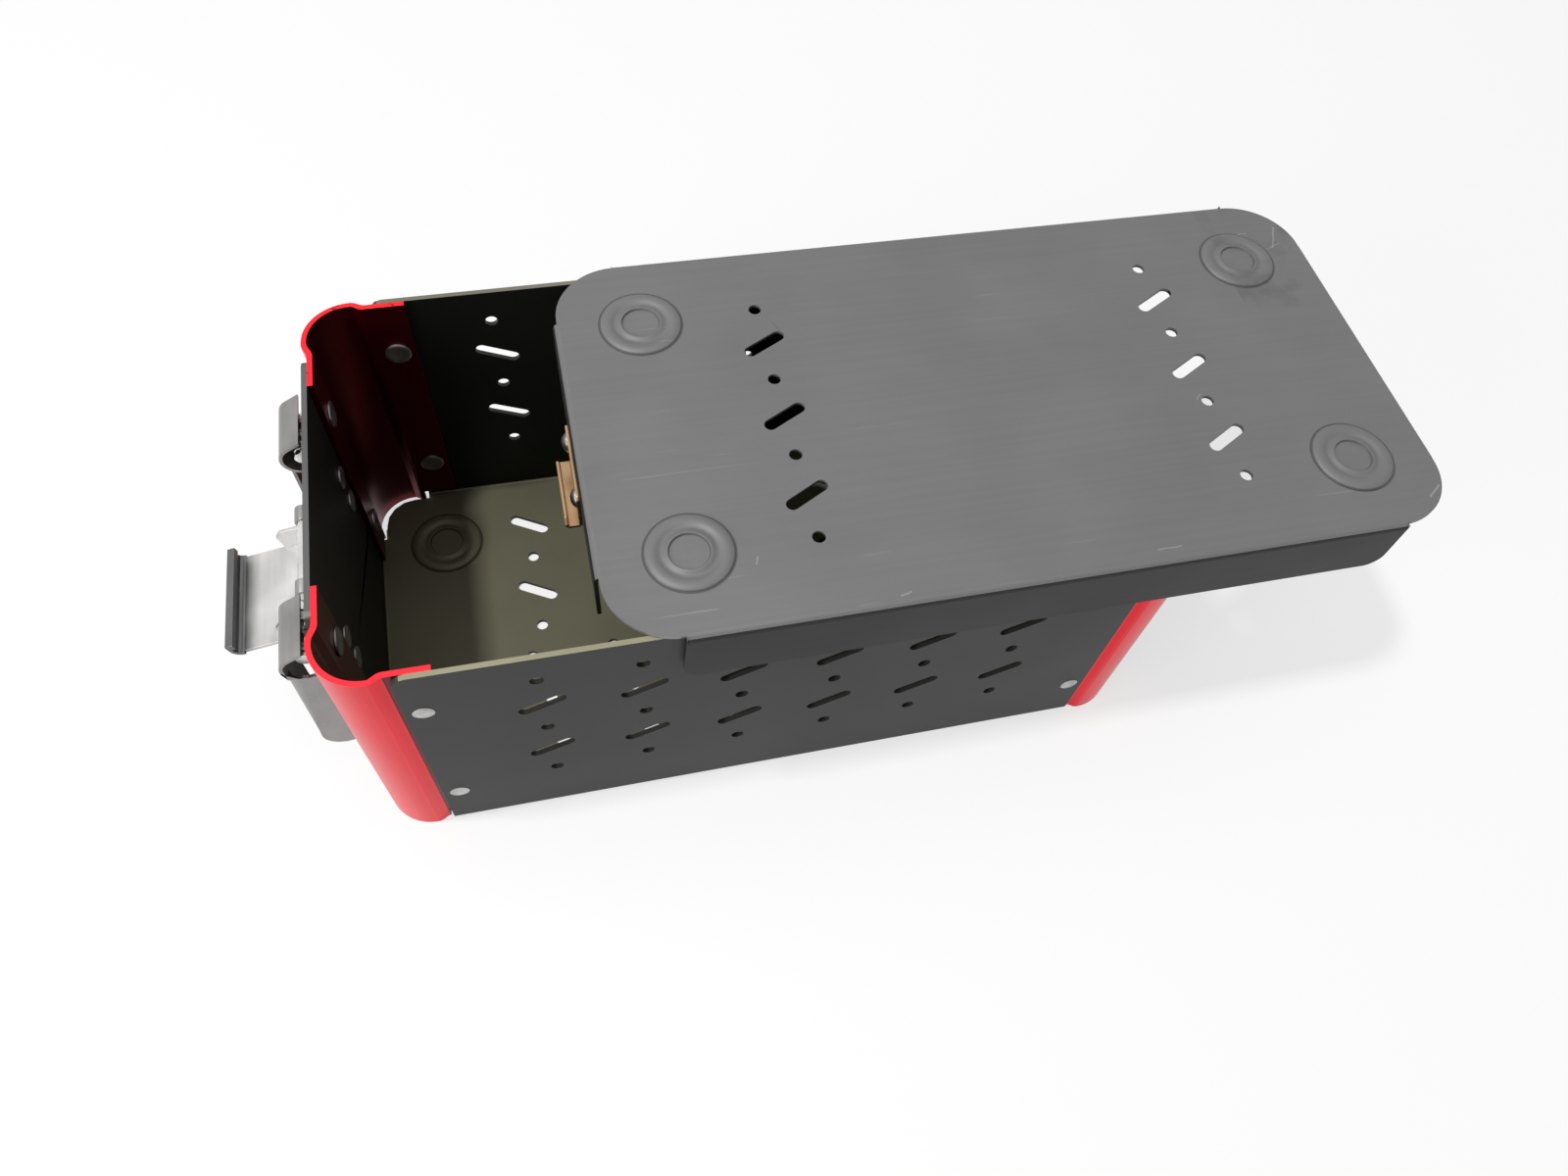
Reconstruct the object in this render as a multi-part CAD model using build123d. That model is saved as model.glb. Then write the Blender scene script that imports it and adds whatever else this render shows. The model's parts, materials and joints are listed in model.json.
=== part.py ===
from build123d import *
import math
import os

os.makedirs("parts", exist_ok=True)

# Driving dimensions in millimetres. X runs along the case, Y across it, Z up.
case_length = 256.0
case_width = 134.0
wall_height = 101.5
sheet = 1.6
corner_run_x = 20.0
corner_run_y = 20.5
half_length = case_length / 2
half_width = case_width / 2
long_wall_half = half_length - corner_run_x
end_wall_half = half_width - corner_run_y
wall_corner_radius = 4.0
wall_foot_chamfer = 2.6
bend_inner = 1.0

post_sheet = 1.7
post_reach_x = 30.8
post_reach_y = 32.1
post_jog_chamfer = 0.6
post_radius = 14.7
post_flange_x = half_length - post_reach_x
post_flange_y = half_width - post_reach_y
post_flange_foot = 5.0
post_jog_gap_x = 1.7
post_jog_gap_y = 0.5
post_jog_run_x = 2.7
post_jog_run_y = 3.6
floor_corner_radius = 10.8

hole_diameter = 4.0
slot_width = 4.0
slot_centres = 11.0
hole_sides = 8
slot_end_sides = 3
column_pitch = 0.1125 * case_length
wall_row_pitch = 0.1478 * wall_height
wall_row_middle = 0.5823 * wall_height
wall_slot_angle = 26.0
floor_row_pitch = 0.1112 * case_width
floor_slot_angle = -29.0
lid_row_pitch = 0.1097 * case_width
lid_column = 0.2613 * case_length
lid_slot_angle = 28.0

lid_sheet = 1.2
lid_gap_end = 1.5
lid_gap_side = 2.0
lid_corner_radius = 20.5
lid_flange_depth = 21.2
lid_corner_inset = 1.4
lid_notch_x = 19.0
lid_notch_y = 20.0
lid_end_flare = 1.2
lid_rest_x = 0.6055 * half_length
lid_rest_y = 0.9
long_flange_half = half_length - lid_notch_x
short_flange_half = half_width - lid_notch_y
long_flange_corner = 5.0
short_flange_corner = 1.8

emboss_outer_radius = 13.0
emboss_crest_radius = 9.3
emboss_ring_radius = 7.6
emboss_disc_radius = 5.9
emboss_height = 1.0
emboss_sides = 10
lid_circle_inset_x = 24.4
lid_circle_inset_y = 23.9
floor_circle_inset_x = 25.2
floor_circle_inset_y = 25.7
lid_emboss_x = half_length - lid_circle_inset_x
lid_emboss_y = half_width - lid_circle_inset_y
floor_emboss_x = half_length - floor_circle_inset_x
floor_emboss_y = half_width - floor_circle_inset_y

rivet_shank = 1.6
rivet_hole = 1.65
rivet_sides = 8
rivet_hole_sides = 6
rivet_crown_radius = 1.7
rivet_dome_radius = 3.1
rivet_dome_height = 1.7
post_dome_height = 0.8
rivet_flat_radius = 4.2
rivet_flat_height = 0.9
base_flat_radius = 3.8
rivet_inset_x = 25.0
rivet_inset_y = 26.0
rivet_drop = 20.5
post_rivet_x = half_length - rivet_inset_x
post_rivet_y = half_width - rivet_inset_y
post_rivet_low = 22.4
post_rivet_high = wall_height - rivet_drop

base_sheet = 1.2
base_margin = 3.3
base_drop = 25.5
base_tall = 32.0
base_half_width = end_wall_half - base_margin
base_top = wall_height - base_drop
base_bottom = base_top - base_tall
base_corner = 2.6
base_rivet_inset = 13.6
base_rivet_rise = 6.4
base_rivet_pitch = 13.0
base_rivet_y = base_half_width - base_rivet_inset
base_rivet_low = base_bottom + base_rivet_rise
base_rivet_high = base_rivet_low + base_rivet_pitch

handle_sheet = 1.0
handle_margin = 0.2
handle_curl_width = 19.5
handle_arm_width = 12.9
handle_outer_y = end_wall_half - handle_margin
handle_inner_y = handle_outer_y - handle_curl_width
handle_arm_inner_y = handle_outer_y - handle_arm_width
curl_out = 6.6
curl_drop = 23.6
curl_height = wall_height - curl_drop
curl_radius = 6.2
curl_slope = 31.0
curl_slope_end = 5.2
curl_lip_angle = 104.0
curl_steps = 6
grip_drop = 67.3
grip_plate = 7.3
grip_height = wall_height - grip_drop
grip_radius = 5.9
grip_out = 6.9
grip_top = grip_height + grip_plate
grip_lip_angle = 45.0
side_flange_out = 4.0

pivot_out = 6.0
pivot_drop = 23.5
pivot_height = wall_height - pivot_drop
pivot_radius = 1.5
pivot_clearance = 0.05
pivot_inset = 12.3
pivot_span = 7.8
pivot_ear_inner_y = handle_outer_y - pivot_inset
pivot_ear_outer_y = pivot_ear_inner_y + pivot_span
ear_foot = 12.0
fitting_root = 0.2
ear_sheet = 1.2
ear_radius = 2.9
handle_ear_sheet = 1.0
running_gap = 0.3
pin_sides = 12
spring_sides = 6
spring_turns = 4
spring_wire = 0.88
spring_turn_radius = 2.6
spring_groove_radius = 2.3
spring_inset = 2.1
spring_start = handle_inner_y + spring_inset
spring_leg = 8.5
spring_tail = 3.2
pin_margin_inner = 0.6
pin_margin_outer = 2.9
pin_inner_y = handle_inner_y + pin_margin_inner
pin_outer_y = handle_outer_y - pin_margin_outer
pin_head = 1.1
pin_head_radius = 2.3

lever_out = 6.3
lever_pin_drop = 46.0
lever_height = wall_height - lever_pin_drop
lever_pin_radius = 1.4
lever_droop = 12.5
lever_sheet = 1.2
lever_half_width = 17.5
lever_drop = 5.4
lever_length = 28.4
lever_heel = -3.4
lever_flange_rise = 3.4
lever_flange_length = 14.6
lip_half_width = 18.2
lip_radius = 2.2
lip_rise = 5.2
lip_steps = 4
base_ear_y = 13.6
bar_out = 8.8
bar_drop = 34.1
bar_height = wall_height - bar_drop
bar_radius = 1.7
strut_half = 3.0
strut_foot = 4.0
bar_boss_radius = 2.5
bar_boss_inner_y = 10.9
bar_boss_outer_y = 15.9

keeper_sheet = 1.0
keeper_half_width = 14.2
keeper_hook_half = 12.3
keeper_offset = -2.0
keeper_drop = 4.5
keeper_plate = 9.5
keeper_tongue = 7.5
keeper_top = wall_height - keeper_drop
keeper_step = keeper_top - keeper_plate
keeper_bottom = keeper_step - keeper_tongue
keeper_depth = 5.2
keeper_lip = 3.6
keeper_lip_top = keeper_bottom + keeper_lip
keeper_lip_corner = 2.4
keeper_rivet_y = 10.4
keeper_rivet_drop = 4.6
keeper_rivet_z = keeper_top - keeper_rivet_drop


def along_y(sketch, y_low, y_high):
    """Extrude a sketch drawn in X and Z between two Y positions."""
    return extrude(Plane.XZ.offset(-y_high) * sketch, amount=y_high - y_low)


def both_sides(sketch, y_near, y_far):
    """The same slab on both sides of the middle plane."""
    return along_y(sketch, y_near, y_far) + along_y(sketch, -y_far, -y_near)


def frustum(low, high, height, sides):
    """A tapered prism standing on the XY plane, its corners on circles of the two radii."""
    taper = math.degrees(math.atan((low - high) * math.cos(math.pi / sides) / height))
    return extrude(RegularPolygon(low, sides), amount=height, taper=taper)


def rivet_bore(length):
    """Cutter for a rivet hole, centred and lying along Z."""
    return extrude(RegularPolygon(rivet_hole, rivet_hole_sides), amount=length / 2, both=True)


def cut_corners(sketch, radius, steps=3):
    """Round the upper corners of an upright rectangle with a few flats."""
    box = sketch.bounding_box()
    for side in (-1, 1):
        centre = (side * (box.max.X - radius), box.max.Y - radius)
        arc = []
        for step in range(steps + 1):
            turn = math.radians(90 * step / steps)
            arc.append((centre[0] + side * radius * math.cos(turn), centre[1] + radius * math.sin(turn)))
        sketch -= make_face(Polyline(arc + [(side * box.max.X, box.max.Y)], close=True))
    return sketch


def disc(x, z, radius):
    return Pos(x, z) * Circle(radius)


def facets(x, z, radius, sides=10):
    """A faceted disc whose flats, not corners, lie at the radius or beyond."""
    return Pos(x, z) * RegularPolygon(radius / math.cos(math.pi / sides), sides)


def bend_cut(face, top, outer_radius):
    """Square corner outside a bend: face is the sheet's outer side, top its upper side."""
    corner = Pos(face - outer_radius / 2, top - outer_radius / 2) * Rectangle(outer_radius, outer_radius)
    return corner - Pos(face - outer_radius, top - outer_radius) * Circle(outer_radius)


def bend_fill(face, top, thickness, inner_radius):
    """Fillet inside the same bend."""
    x = face - thickness
    z = top - thickness
    corner = Pos(x - inner_radius / 2, z - inner_radius / 2) * Rectangle(inner_radius, inner_radius)
    return corner - Pos(x - inner_radius, z - inner_radius) * Circle(inner_radius)


def fold(body, faces, top, thickness, halves, up):
    """Round the bends between a flat sheet and its four flanges; up is -1 for flanges that rise."""
    for face, half, turn in ((faces[0], halves[0], 0), (faces[1], halves[1], 90)):
        cut = bend_cut(face, 0, bend_inner + thickness)
        fill = bend_fill(face, 0, thickness, bend_inner)
        for section, add in ((fill, True), (cut, False)):
            bar = extrude(Plane.YZ.offset(-half) * section, amount=2 * half)
            if up < 0:
                bar = mirror(bar, about=Plane.XY)
            bar = Rot(0, 0, turn) * Pos(0, 0, top) * bar
            pair = [bar, Rot(0, 0, 180) * bar]
            body = body + pair if add else body - pair
    return body


def other_end(shape):
    """The same fitting turned round to the opposite end of the case."""
    return Rot(0, 0, 180) * shape


def write(name, *shapes):
    """Write one or several solids as one named piece."""
    whole = shapes[0] if len(shapes) == 1 else Compound(children=list(shapes))
    whole.label = name
    export_step(whole, f"parts/{name}.step")


# Perforations: one cutter holds a column of round holes with slanted slots between them.
def hole_sketch():
    return RegularPolygon(hole_diameter / 2, hole_sides)


def slot_sketch(angle):
    points = []
    for end in (1, -1):
        for step in range(slot_end_sides + 1):
            turn = math.radians(180 * step / slot_end_sides - 90 * end)
            points.append((
                end * slot_centres / 2 + slot_width / 2 * math.cos(turn), slot_width / 2 * math.sin(turn)
            ))
    return Rot(0, 0, angle) * make_face(Polyline(points, close=True))


def wall_column(angle):
    shapes = []
    for row in (-2, 0, 2):
        shapes.append(Pos(0, row * wall_row_pitch) * hole_sketch())
    for row in (-1, 1):
        shapes.append(Pos(0, row * wall_row_pitch) * slot_sketch(angle))
    return Sketch() + shapes


def column_positions():
    return [(index - 2.5) * column_pitch for index in range(6)]


# Pressed circle: a raised ring round a lower centre disc, in sheet of even thickness.
def emboss(thickness, height):
    floor = 0.35 * height
    crown = frustum(emboss_outer_radius, emboss_crest_radius, height, emboss_sides)
    dish = frustum(emboss_disc_radius, emboss_ring_radius, height - floor, emboss_sides)
    crown -= Pos(0, 0, floor) * dish
    blank = extrude(RegularPolygon(emboss_outer_radius, emboss_sides), amount=-thickness)
    return blank + crown - Pos(0, 0, -thickness) * crown


def emboss_cutter():
    return extrude(RegularPolygon(emboss_outer_radius, emboss_sides), amount=6, both=True)


# Tray: floor and four walls folded from one blank, the corners left open for the posts.
def tray_shell():
    blank = Rectangle(2 * long_wall_half, case_width) + Rectangle(case_length, 2 * end_wall_half)
    centre_x = half_length - post_radius
    centre_y = half_width - post_radius
    reach_x = centre_x - long_wall_half
    reach_y = centre_y - end_wall_half
    for sx in (-1, 1):
        for sy in (-1, 1):
            blank += Pos(sx * centre_x, sy * centre_y) * RegularPolygon(floor_corner_radius, 16)
            side = Rectangle(reach_x + 2, floor_corner_radius + 20)
            place = (sx * (centre_x - reach_x / 2 - 1), sy * (centre_y + floor_corner_radius / 2 - 10))
            blank += Pos(*place) * side
            side = Rectangle(floor_corner_radius + 20, reach_y + 2)
            place = (sx * (centre_x + floor_corner_radius / 2 - 10), sy * (centre_y - reach_y / 2 - 1))
            blank += Pos(*place) * side
    tray = extrude(blank, amount=sheet)

    long_wall = Pos(0, wall_height / 2) * Rectangle(2 * long_wall_half, wall_height)
    long_wall = chamfer(long_wall.vertices().group_by(Axis.Y)[0], wall_foot_chamfer)
    long_wall = cut_corners(long_wall, wall_corner_radius)
    end_wall = Pos(0, wall_height / 2) * Rectangle(2 * end_wall_half, wall_height)
    end_wall = chamfer(end_wall.vertices().group_by(Axis.Y)[0], wall_foot_chamfer)
    end_wall = cut_corners(end_wall, wall_corner_radius)
    tray += along_y(long_wall, half_width - sheet, half_width)
    tray += along_y(long_wall, -half_width, -half_width + sheet)
    tray += extrude(Plane.YZ.offset(half_length - sheet) * end_wall, amount=sheet)
    tray += extrude(Plane.YZ.offset(-half_length) * end_wall, amount=sheet)

    return fold(tray, (half_width, half_length), 0, sheet, (long_wall_half, end_wall_half), -1)


def perforate_tray(tray):
    cutters = []
    for x in column_positions():
        near = Pos(x, wall_row_middle) * wall_column(wall_slot_angle)
        far = Pos(x, wall_row_middle) * wall_column(-wall_slot_angle)
        cutters.append(along_y(near, -half_width - 1, -half_width + sheet + 1))
        cutters.append(along_y(far, half_width - sheet - 1, half_width + 1))
        shapes = []
        for row in (-3, -1, 1, 3):
            shapes.append(Pos(x, row * floor_row_pitch) * slot_sketch(floor_slot_angle))
        for row in (-2, 0, 2):
            shapes.append(Pos(x, row * floor_row_pitch) * hole_sketch())
        cutters.append(extrude(Pos(0, 0, -1) * (Sketch() + shapes), amount=sheet + 2))
    for z in (post_rivet_low, post_rivet_high):
        for x in (-post_rivet_x, post_rivet_x):
            cutters.append(Pos(x, 0, z) * Rot(90, 0, 0) * rivet_bore(case_width + 4))
        for y in (-post_rivet_y, post_rivet_y):
            cutters.append(Pos(0, y, z) * Rot(0, 90, 0) * rivet_bore(case_length + 4))
    for z in (base_rivet_low, base_rivet_high):
        for y in (-base_rivet_y, base_rivet_y):
            cutters.append(Pos(0, y, z) * Rot(0, 90, 0) * rivet_bore(case_length + 4))
    for x in (-floor_emboss_x, floor_emboss_x):
        for y in (-floor_emboss_y, floor_emboss_y):
            cutters.append(Pos(x, y, 0) * emboss_cutter())
    tray -= cutters
    for x in (-floor_emboss_x, floor_emboss_x):
        for y in (-floor_emboss_y, floor_emboss_y):
            tray += Pos(x, y, sheet) * emboss(sheet, emboss_height)
    return tray


tray = perforate_tray(tray_shell())
write("tray_shell", tray)


# Corner posts: one extrusion with two flanges inside the walls and a round flush with them.
def post_profile():
    cx = half_length - post_radius
    cy = half_width - post_radius
    inner_radius = post_radius - post_sheet
    wy = half_width - sheet
    wx = half_length - sheet
    jog_x = long_wall_half + post_jog_gap_x
    jog_y = end_wall_half + post_jog_gap_y
    shift_x = post_sheet * math.hypot(post_jog_run_x, sheet) / sheet
    shift_y = post_sheet * math.hypot(post_jog_run_y, sheet) / sheet
    with BuildSketch() as section:
        with BuildLine():
            Polyline((post_flange_x, wy), (jog_x, wy), (jog_x + post_jog_run_x, half_width), (cx, half_width))
            RadiusArc((cx, half_width), (half_length, cy), post_radius)
            Polyline(
                (half_length, cy), (half_length, jog_y + post_jog_run_y), (wx, jog_y), (wx, post_flange_y),
                (wx - post_sheet, post_flange_y), (wx - post_sheet, jog_y + shift_y - post_jog_run_y),
                (wx, jog_y + shift_y), (wx, cy),
            )
            RadiusArc((wx, cy), (cx, wy), -inner_radius)
            Polyline(
                (cx, wy), (jog_x + shift_x, wy), (jog_x + shift_x - post_jog_run_x, wy - post_sheet),
                (post_flange_x, wy - post_sheet), (post_flange_x, wy),
            )
        make_face()
    return section.sketch


def corner_post(sx, sy):
    post = extrude(post_profile(), amount=wall_height)
    jog = []
    for edge in post.edges().filter_by(Axis.Z):
        c = edge.center()
        along = 0.1 < c.X - long_wall_half < corner_run_x / 4
        across = 0 < c.Y - end_wall_half < corner_run_y / 4.2
        if along and c.Y > half_width - 2.5 * sheet or across and c.X > half_length - 2.5 * sheet:
            jog.append(edge)
    post = chamfer(jog, post_jog_chamfer)
    reach = long_wall_half + 1.1 - (post_flange_x - 5)
    foot = Box(reach, 20, 2 * post_flange_foot, align=(Align.MIN, Align.CENTER, Align.CENTER))
    post -= Pos(post_flange_x - 5, half_width, 0) * foot
    reach = end_wall_half + 1.5 - (post_flange_y - 5)
    foot = Box(20, reach, 2 * post_flange_foot, align=(Align.CENTER, Align.MIN, Align.CENTER))
    post -= Pos(half_length, post_flange_y - 5, 0) * foot
    for z in (post_rivet_low, post_rivet_high):
        post -= Pos(post_rivet_x, half_width, z) * Rot(90, 0, 0) * rivet_bore(20)
        post -= Pos(half_length, post_rivet_y, z) * Rot(0, 90, 0) * rivet_bore(20)
    if sx < 0:
        post = mirror(post, about=Plane.YZ)
    if sy < 0:
        post = mirror(post, about=Plane.XZ)
    return post


post_names = {(-1, -1): "near_left", (-1, 1): "far_left", (1, -1): "near_right", (1, 1): "far_right"}
for signs, name in post_names.items():
    write(f"corner_post_{name}", corner_post(*signs))


# Rivets lie along +Z here: a domed head on top, a flat wide head below the grip.
def rivet(grip, flat_radius, height):
    shank = extrude(RegularPolygon(rivet_shank, rivet_hole_sides), amount=-grip)
    head = frustum(rivet_dome_radius, rivet_crown_radius, height, rivet_sides)
    foot = frustum(flat_radius - 0.5, flat_radius, rivet_flat_height, rivet_sides)
    foot = Pos(0, 0, -grip - rivet_flat_height) * foot
    return head + shank + foot


post_rivet = rivet(sheet + post_sheet, rivet_flat_radius, post_dome_height)
rivets = []
for z in (post_rivet_low, post_rivet_high):
    for x in (-post_rivet_x, post_rivet_x):
        rivets.append(Pos(x, -half_width, z) * Rot(90, 0, 0) * post_rivet)
        rivets.append(Pos(x, half_width, z) * Rot(-90, 0, 0) * post_rivet)
    for y in (-post_rivet_y, post_rivet_y):
        rivets.append(Pos(-half_length, y, z) * Rot(0, -90, 0) * post_rivet)
        rivets.append(Pos(half_length, y, z) * Rot(0, 90, 0) * post_rivet)
write("post_rivets", *rivets)


# Lid: a plate with large round corners and four flanges that stop where the corners begin.
lid_half_length = half_length + lid_gap_end + lid_sheet
lid_half_width = half_width + lid_gap_side + lid_sheet


def lid_panel():
    corner_length = 2 * (lid_half_length - lid_corner_inset)
    corner_width = 2 * (lid_half_width - lid_corner_inset)
    outline = RectangleRounded(corner_length, corner_width, lid_corner_radius)
    outline += Rectangle(2 * long_flange_half, 2 * lid_half_width)
    outline += Rectangle(2 * lid_half_length, 2 * short_flange_half)
    lid = extrude(outline, amount=lid_sheet)
    drop = lid_flange_depth - lid_sheet
    flare = long_flange_half + lid_end_flare
    long_flange = make_face(Polyline(
        (-long_flange_half, lid_sheet), (long_flange_half, lid_sheet),
        (flare, -drop), (-flare, -drop), close=True,
    ))
    long_flange = fillet(long_flange.vertices().group_by(Axis.Y)[0], long_flange_corner)
    short_flange = Pos(0, -drop / 2 + lid_sheet / 2) * Rectangle(2 * short_flange_half, drop + lid_sheet)
    short_flange = chamfer(short_flange.vertices().group_by(Axis.Y)[0], short_flange_corner)
    lid += along_y(long_flange, lid_half_width - lid_sheet, lid_half_width)
    lid += along_y(long_flange, -lid_half_width, -lid_half_width + lid_sheet)
    lid += extrude(Plane.YZ.offset(lid_half_length - lid_sheet) * short_flange, amount=lid_sheet)
    lid += extrude(Plane.YZ.offset(-lid_half_length) * short_flange, amount=lid_sheet)
    lid = fold(
        lid, (lid_half_width, lid_half_length), lid_sheet, lid_sheet, (long_flange_half, short_flange_half), 1
    )
    cutters = []
    for x in (-lid_column, lid_column):
        shapes = []
        for row in (-3, -1, 1, 3):
            shapes.append(Pos(x, row * lid_row_pitch) * hole_sketch())
        for row in (-2, 0, 2):
            shapes.append(Pos(x, row * lid_row_pitch) * slot_sketch(lid_slot_angle))
        cutters.append(extrude(Pos(0, 0, -1) * (Sketch() + shapes), amount=lid_sheet + 2))
    for x in (-lid_emboss_x, lid_emboss_x):
        for y in (-lid_emboss_y, lid_emboss_y):
            cutters.append(Pos(x, y, 0) * emboss_cutter())
    for side in (-1, 1):
        for y in (keeper_offset - keeper_rivet_y, keeper_offset + keeper_rivet_y):
            z = keeper_rivet_z - wall_height
            cutters.append(Pos(side * lid_half_length, -side * y, z) * Rot(0, 90, 0) * rivet_bore(20))
    lid -= cutters
    for x in (-lid_emboss_x, lid_emboss_x):
        for y in (-lid_emboss_y, lid_emboss_y):
            lid += Pos(x, y, lid_sheet) * emboss(lid_sheet, emboss_height)
    return lid


lid_place = Pos(lid_rest_x, lid_rest_y, wall_height)
write("lid_panel", lid_place * lid_panel())


# Keepers: a riveted plate whose lower edge turns out and up into a hook for the clasp.
def keeper():
    face = -lid_half_length
    plate = Pos(0, (keeper_top + keeper_step) / 2) * Rectangle(2 * keeper_half_width, keeper_top - keeper_step)
    plate = chamfer(plate.vertices(), 1.0)
    low = Pos(0, (keeper_step + keeper_bottom) / 2 + 1) * Rectangle(
        2 * keeper_hook_half, keeper_step - keeper_bottom + 1
    )
    body = extrude(Plane.YZ.offset(face - keeper_sheet) * (plate + low), amount=keeper_sheet)
    x0 = face
    x1 = face - keeper_depth
    hook = Polyline(
        (x0, keeper_bottom + 2.5), (x0, keeper_bottom), (x1, keeper_bottom), (x1, keeper_lip_top),
        (x1 + keeper_sheet, keeper_lip_top), (x1 + keeper_sheet, keeper_bottom + keeper_sheet),
        (x0 - keeper_sheet, keeper_bottom + keeper_sheet), (x0 - keeper_sheet, keeper_bottom + 2.5), close=True,
    )
    hook = make_face(hook)
    corners = hook.vertices().filter_by(lambda v: v.Y < keeper_bottom + 0.1)
    hook = fillet(corners, 1.6)
    body += along_y(hook, -keeper_hook_half, keeper_hook_half)
    for side in (-1, 1):
        corner = Pos(x1, side * keeper_hook_half, keeper_lip_top) * Rot(45, 0, 0)
        body -= corner * Box(2.5, keeper_lip_corner, keeper_lip_corner)
    for y in (-keeper_rivet_y, keeper_rivet_y):
        body -= Pos(face, y, keeper_rivet_z) * Rot(0, 90, 0) * rivet_bore(10)
    return body


keeper_set = Pos(0, keeper_offset, 0) * keeper()
keeper_place = Pos(lid_rest_x, lid_rest_y, 0)
write("keeper_left", keeper_place * keeper_set)
write("keeper_right", keeper_place * other_end(keeper_set))

keeper_rivet = rivet(lid_sheet + keeper_sheet, base_flat_radius - 0.6, rivet_dome_height)
rivets = []
for y in (keeper_offset - keeper_rivet_y, keeper_offset + keeper_rivet_y):
    place = Pos(-lid_half_length - keeper_sheet, y, keeper_rivet_z) * Rot(0, -90, 0)
    rivets.append(keeper_place * place * keeper_rivet)
    rivets.append(keeper_place * other_end(place * keeper_rivet))
write("keeper_rivets", *rivets)


# End fittings are drawn for the left end; u counts outward from the end wall.
def at(u, z):
    return (-half_length - u, z)


def end_disc(u, z, radius):
    return disc(-half_length - u, z, radius)


def end_facets(u, z, radius, sides=8):
    return facets(-half_length - u, z, radius, sides)


def end_base():
    plate = Pos(0, (base_top + base_bottom) / 2) * Rectangle(2 * base_half_width, base_top - base_bottom)
    plate = chamfer(plate.vertices(), base_corner)
    base = extrude(Plane.YZ.offset(-half_length - base_sheet) * plate, amount=base_sheet)
    ear = make_face(Polyline(
        at(fitting_root, pivot_height - ear_foot), at(ear_sheet + 0.8, pivot_height - ear_foot),
        at(pivot_out + 0.6, pivot_height - 0.93 * ear_radius), at(pivot_out, pivot_height + 0.96 * ear_radius),
        at(base_sheet, pivot_height + 0.96 * ear_radius), at(base_sheet, base_top - fitting_root),
        at(fitting_root, base_top - fitting_root), close=True,
    ))
    ear += end_facets(pivot_out, pivot_height, ear_radius * 0.96)
    ear -= end_facets(pivot_out, pivot_height, pivot_radius + pivot_clearance)
    for y in (pivot_ear_inner_y, pivot_ear_outer_y - ear_sheet):
        base += both_sides(ear, y, y + ear_sheet)
    strut = make_face(Polyline(
        at(fitting_root, lever_height - strut_foot), at(lever_out, lever_height - strut_half),
        at(lever_out + strut_half, lever_height), at(bar_out + 0.9 * bar_boss_radius, bar_height - 0.6),
        at(bar_out, bar_height + 0.9 * bar_boss_radius), at(fitting_root, bar_height + strut_foot), close=True,
    ))
    strut += end_facets(lever_out, lever_height, strut_half * 0.96)
    base += both_sides(strut, base_ear_y, base_ear_y + ear_sheet)
    boss = end_facets(bar_out, bar_height, bar_boss_radius * 0.96)
    base += both_sides(boss, bar_boss_inner_y, bar_boss_outer_y)
    base -= along_y(end_facets(lever_out, lever_height, lever_pin_radius + pivot_clearance), -20, 20)
    base -= along_y(end_facets(bar_out, bar_height, bar_radius + pivot_clearance), -20, 20)
    for z in (base_rivet_low, base_rivet_high):
        for y in (-base_rivet_y, base_rivet_y):
            base -= Pos(-half_length, y, z) * Rot(0, 90, 0) * rivet_bore(10)
    return base


base = end_base()
write("latch_base_left", base)
write("latch_base_right", other_end(base))

base_rivet = rivet(sheet + base_sheet, base_flat_radius, rivet_dome_height)
rivets = []
for z in (base_rivet_low, base_rivet_high):
    for y in (-base_rivet_y, base_rivet_y):
        rivets.append(Pos(-half_length - base_sheet, y, z) * Rot(0, -90, 0) * base_rivet)
write("base_rivets_left", *rivets)
write("base_rivets_right", *[other_end(item) for item in rivets])


# Handle: one pressing with a curled hinge edge above, two arms, and a rolled grip below.
def band(points_outer, points_inner):
    return make_face(Polyline(points_outer + points_inner[::-1], close=True))


def arc_points(u, z, radius, first, last, steps):
    """Points on an arc; angles in degrees from outward, turning up."""
    points = []
    for index in range(steps + 1):
        angle = math.radians(first + (last - first) * index / steps)
        points.append(at(u + radius * math.cos(angle), z + radius * math.sin(angle)))
    return points


def curl_section(first, last, slope):
    outer = arc_points(curl_out, curl_height, curl_radius, first, last, curl_steps)
    inner = arc_points(curl_out, curl_height, curl_radius - handle_sheet, first, last, curl_steps)
    if slope:
        normal = math.radians(90 - curl_slope)
        along = (-math.cos(math.radians(curl_slope)), math.sin(math.radians(curl_slope)))
        for points, radius in ((outer, curl_radius), (inner, curl_radius - handle_sheet)):
            u = curl_out + radius * math.cos(normal)
            z = curl_height + radius * math.sin(normal)
            reach = (u - curl_slope_end) / -along[0]
            points.insert(0, at(u + along[0] * reach, z + along[1] * reach))
    return band(outer, inner)


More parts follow.
